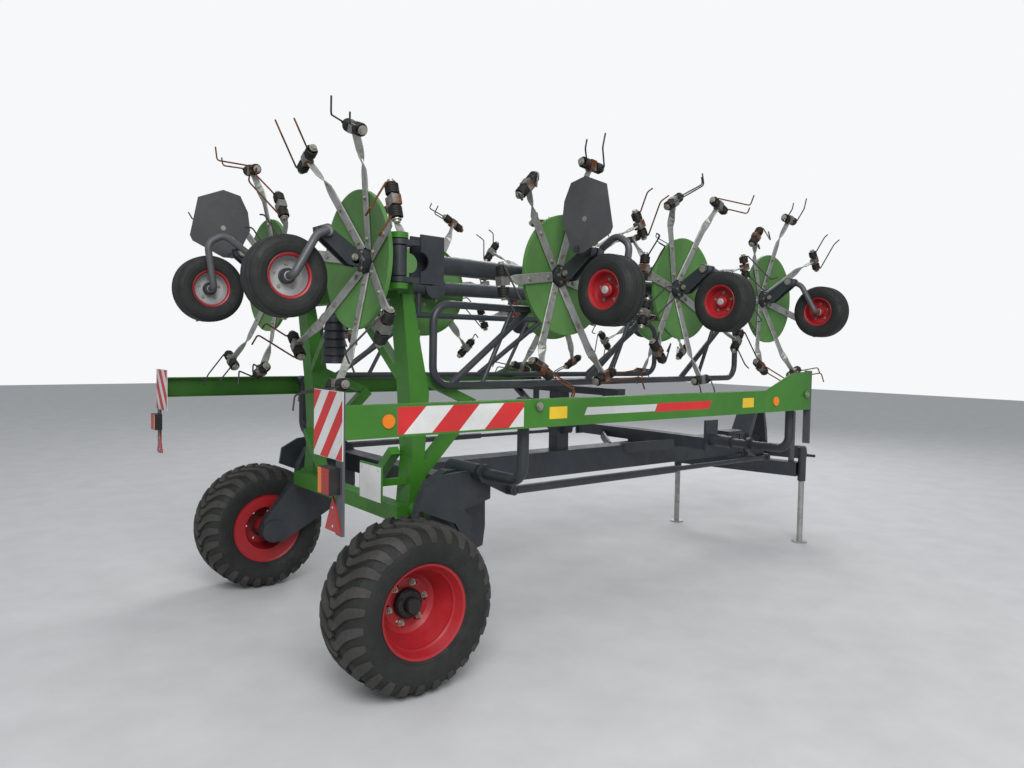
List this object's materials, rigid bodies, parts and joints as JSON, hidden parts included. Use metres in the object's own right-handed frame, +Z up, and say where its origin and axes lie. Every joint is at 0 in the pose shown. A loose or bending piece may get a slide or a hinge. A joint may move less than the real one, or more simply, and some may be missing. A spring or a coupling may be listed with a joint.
{
  "type": "hay tedder",
  "caption": "Trailed hay tedder folded for the road: a two-wheeled chassis with side guards carries a tilting frame and two hinged wings of tined rotors with small wheels.",
  "frame": {"origin": "on the ground below the middle of the machine's box", "axes": "+X forward, towards the hitch; +Y to the machine's left; +Z up"},
  "size_m": [5.7332, 2.978, 2.9462],
  "materials": {
    "green_paint": "semi-gloss green paint",
    "dark_paint": "satin anthracite paint",
    "galvanised": "dull galvanised steel",
    "red_paint": "gloss red paint",
    "tyre": "worn black rubber",
    "board": "white and red board"
  },
  "bodies": {
    "chassis": {"main_beam": "dark_paint", "axle_frame": "dark_paint", "rest_post": "dark_paint"},
    "hitch_head": {"hitch": "dark_paint"},
    "jack_leg_right": {"jack_right": "galvanised"},
    "jack_leg_left": {"jack_left": "galvanised"},
    "road_wheel_right": {"tyre_right": "tyre", "rim_right": "red_paint"},
    "road_wheel_left": {"tyre_left": "tyre", "rim_left": "red_paint"},
    "tilt_frame": {"tower": "green_paint", "middle_drive": "dark_paint", "middle_stems": "dark_paint"},
    "wing_right": {"boom_right": "dark_paint", "hoops_right": "dark_paint", "stems_right": "dark_paint"},
    "guard_beam_right": {"guard_right": "green_paint", "posts_right": "dark_paint", "boards_right": "board"},
    "crank_rear_right_arm": {"crank_rear_right": "dark_paint"},
    "crank_front_right_arm": {"crank_front_right": "dark_paint"},
    "link_rod_right": {"link_right": "dark_paint"},
    "rotor_r1": {"disc_r1": "green_paint", "arms_r1": "galvanised"},
    "small_wheel_r1": {"wheel_r1": "tyre"},
    "rotor_r2": {"disc_r2": "green_paint", "arms_r2": "galvanised"},
    "small_wheel_r2": {"wheel_r2": "tyre"},
    "rotor_r3": {"disc_r3": "green_paint", "arms_r3": "galvanised"},
    "small_wheel_r3": {"wheel_r3": "tyre"},
    "rotor_r4": {"disc_r4": "green_paint", "arms_r4": "galvanised"},
    "small_wheel_r4": {"wheel_r4": "tyre"},
    "wing_left": {"boom_left": "dark_paint", "hoops_left": "dark_paint", "stems_left": "dark_paint"},
    "guard_beam_left": {"guard_left": "green_paint", "posts_left": "dark_paint", "boards_left": "board"},
    "crank_rear_left_arm": {"crank_rear_left": "dark_paint"},
    "crank_front_left_arm": {"crank_front_left": "dark_paint"},
    "link_rod_left": {"link_left": "dark_paint"},
    "rotor_l1": {"disc_l1": "green_paint", "arms_l1": "galvanised"},
    "small_wheel_l1": {"wheel_l1": "tyre"},
    "rotor_l2": {"disc_l2": "green_paint", "arms_l2": "galvanised"},
    "small_wheel_l2": {"wheel_l2": "tyre"},
    "rotor_l3": {"disc_l3": "green_paint", "arms_l3": "galvanised"},
    "small_wheel_l3": {"wheel_l3": "tyre"},
    "rotor_l4": {"disc_l4": "green_paint", "arms_l4": "galvanised"},
    "small_wheel_l4": {"wheel_l4": "tyre"}
  },
  "joints": [
    {"name": "fold_tilt", "type": "hinge", "parent": "chassis", "child": "tilt_frame", "pos_m": [-1.973, 0, 0.81], "axis": [0, -1, 0], "range_deg": [0, 90]},
    {"name": "hitch_swivel", "type": "hinge", "parent": "chassis", "child": "hitch_head", "pos_m": [1.907, 0, 0.86], "axis": [0, 0, 1], "range_deg": [-52.8, 27.2]},
    {"name": "jack_right_slide", "type": "slide", "parent": "hitch_head", "child": "jack_leg_right", "axis": [0, 0, 1], "range_m": [0, 0.35]},
    {"name": "road_wheel_right_spin", "type": "hinge", "parent": "chassis", "child": "road_wheel_right", "pos_m": [-2.203, -1.042, 0.425], "axis": [0, 1, 0], "continuous": true},
    {"name": "wing_right_swing", "type": "hinge", "parent": "tilt_frame", "child": "wing_right", "pos_m": [-2.121, -0.7685, 2.158], "axis": [0, 0, -1], "range_deg": [0, 95.5]},
    {"name": "crank_rear_right_swing", "type": "hinge", "parent": "chassis", "child": "crank_rear_right_arm", "pos_m": [-1.743, -1.365, 1.04], "axis": [0, 1, 0], "range_deg": [0, 100.8]},
    {"name": "crank_front_right_swing", "type": "hinge", "parent": "chassis", "child": "crank_front_right_arm", "pos_m": [0.637, -1.365, 1.04], "axis": [0, 1, 0], "range_deg": [0, 100.8]},
    {"name": "guard_right_pin", "type": "hinge", "parent": "crank_rear_right_arm", "child": "guard_beam_right", "pos_m": [-1.743, -1.413, 1.43], "axis": [0, 1, 0], "range_deg": [-100.8, 0]},
    {"name": "link_right_pin", "type": "hinge", "parent": "crank_rear_right_arm", "child": "link_rod_right", "pos_m": [-1.583, -1.086, 0.94], "axis": [0, 1, 0], "range_deg": [-100.8, 0]},
    {"name": "rotor_r1_spin", "type": "hinge", "parent": "tilt_frame", "child": "rotor_r1", "pos_m": [-2.236, -0.6275, 2.158], "axis": [-1, 0, 0], "continuous": true},
    {"name": "wheel_r1_spin", "type": "hinge", "parent": "tilt_frame", "child": "small_wheel_r1", "pos_m": [-2.66, -0.5745, 2.05], "axis": [0, 1, 0], "continuous": true},
    {"name": "rotor_r2_spin", "type": "hinge", "parent": "wing_right", "child": "rotor_r2", "pos_m": [-1.00112, -0.77815, 2.158], "axis": [0.0941, -0.9956, 0], "continuous": true},
    {"name": "wheel_r2_spin", "type": "hinge", "parent": "wing_right", "child": "small_wheel_r2", "pos_m": [-0.98113, -1.20215, 2.05], "axis": [0.9956, 0.0941, 0], "continuous": true},
    {"name": "rotor_r3_spin", "type": "hinge", "parent": "wing_right", "child": "rotor_r3", "pos_m": [0.24831, -0.66005, 2.158], "axis": [0.0941, -0.9956, 0], "continuous": true},
    {"name": "wheel_r3_spin", "type": "hinge", "parent": "wing_right", "child": "small_wheel_r3", "pos_m": [0.24341, -1.0864, 2.05], "axis": [0.9956, 0.0941, 0], "continuous": true},
    {"name": "rotor_r4_spin", "type": "hinge", "parent": "wing_right", "child": "rotor_r4", "pos_m": [1.49774, -0.54194, 2.158], "axis": [0.0941, -0.9956, 0], "continuous": true},
    {"name": "wheel_r4_spin", "type": "hinge", "parent": "wing_right", "child": "small_wheel_r4", "pos_m": [1.73178, -0.94571, 2.05], "axis": [0.9956, 0.0941, 0], "continuous": true},
    {"name": "jack_left_slide", "type": "slide", "parent": "hitch_head", "child": "jack_leg_left", "axis": [0, 0, 1], "range_m": [0, 0.35]},
    {"name": "road_wheel_left_spin", "type": "hinge", "parent": "chassis", "child": "road_wheel_left", "pos_m": [-2.203, 1.042, 0.425], "axis": [0, 1, 0], "continuous": true},
    {"name": "wing_left_swing", "type": "hinge", "parent": "tilt_frame", "child": "wing_left", "pos_m": [-2.121, 0.7685, 2.158], "axis": [0, 0, 1], "range_deg": [0, 95.5]},
    {"name": "crank_rear_left_swing", "type": "hinge", "parent": "chassis", "child": "crank_rear_left_arm", "pos_m": [-1.743, 1.365, 1.04], "axis": [0, 1, 0], "range_deg": [0, 100.8]},
    {"name": "crank_front_left_swing", "type": "hinge", "parent": "chassis", "child": "crank_front_left_arm", "pos_m": [0.637, 1.365, 1.04], "axis": [0, 1, 0], "range_deg": [0, 100.8]},
    {"name": "guard_left_pin", "type": "hinge", "parent": "crank_rear_left_arm", "child": "guard_beam_left", "pos_m": [-1.743, 1.413, 1.43], "axis": [0, 1, 0], "range_deg": [-100.8, 0]},
    {"name": "link_left_pin", "type": "hinge", "parent": "crank_rear_left_arm", "child": "link_rod_left", "pos_m": [-1.583, 1.086, 0.94], "axis": [0, 1, 0], "range_deg": [-100.8, 0]},
    {"name": "rotor_l1_spin", "type": "hinge", "parent": "tilt_frame", "child": "rotor_l1", "pos_m": [-2.236, 0.6275, 2.158], "axis": [-1, 0, 0], "continuous": true},
    {"name": "wheel_l1_spin", "type": "hinge", "parent": "tilt_frame", "child": "small_wheel_l1", "pos_m": [-2.66, 0.6805, 2.05], "axis": [0, 1, 0], "continuous": true},
    {"name": "rotor_l2_spin", "type": "hinge", "parent": "wing_left", "child": "rotor_l2", "pos_m": [-1.00112, 0.77815, 2.158], "axis": [0.0941, 0.9956, 0], "continuous": true},
    {"name": "wheel_l2_spin", "type": "hinge", "parent": "wing_left", "child": "small_wheel_l2", "pos_m": [-0.98113, 1.20215, 2.05], "axis": [0.9956, -0.0941, 0], "continuous": true},
    {"name": "rotor_l3_spin", "type": "hinge", "parent": "wing_left", "child": "rotor_l3", "pos_m": [0.24831, 0.66005, 2.158], "axis": [0.0941, 0.9956, 0], "continuous": true},
    {"name": "wheel_l3_spin", "type": "hinge", "parent": "wing_left", "child": "small_wheel_l3", "pos_m": [0.24341, 1.0864, 2.05], "axis": [0.9956, -0.0941, 0], "continuous": true},
    {"name": "rotor_l4_spin", "type": "hinge", "parent": "wing_left", "child": "rotor_l4", "pos_m": [1.49774, 0.54194, 2.158], "axis": [0.0941, 0.9956, 0], "continuous": true},
    {"name": "wheel_l4_spin", "type": "hinge", "parent": "wing_left", "child": "small_wheel_l4", "pos_m": [1.73178, 0.94571, 2.05], "axis": [0.9956, -0.0941, 0], "continuous": true}
  ],
  "couplings": [
    {"joint": "wing_right_swing", "follows": "fold_tilt", "ratio": 1.06},
    {"joint": "crank_rear_right_swing", "follows": "fold_tilt", "ratio": 1.12},
    {"joint": "crank_front_right_swing", "follows": "fold_tilt", "ratio": 1.12},
    {"joint": "guard_right_pin", "follows": "fold_tilt", "ratio": -1.12},
    {"joint": "link_right_pin", "follows": "fold_tilt", "ratio": -1.12},
    {"joint": "wing_left_swing", "follows": "fold_tilt", "ratio": 1.06},
    {"joint": "crank_rear_left_swing", "follows": "fold_tilt", "ratio": 1.12},
    {"joint": "crank_front_left_swing", "follows": "fold_tilt", "ratio": 1.12},
    {"joint": "guard_left_pin", "follows": "fold_tilt", "ratio": -1.12},
    {"joint": "link_left_pin", "follows": "fold_tilt", "ratio": -1.12},
    {"joint": "rotor_l1_spin", "follows": "rotor_r1_spin", "ratio": -1},
    {"joint": "rotor_r2_spin", "follows": "rotor_r1_spin", "ratio": -1},
    {"joint": "rotor_r3_spin", "follows": "rotor_r1_spin", "ratio": 1},
    {"joint": "rotor_r4_spin", "follows": "rotor_r1_spin", "ratio": -1},
    {"joint": "rotor_l2_spin", "follows": "rotor_r1_spin", "ratio": 1},
    {"joint": "rotor_l3_spin", "follows": "rotor_r1_spin", "ratio": -1},
    {"joint": "rotor_l4_spin", "follows": "rotor_r1_spin", "ratio": 1}
  ]
}
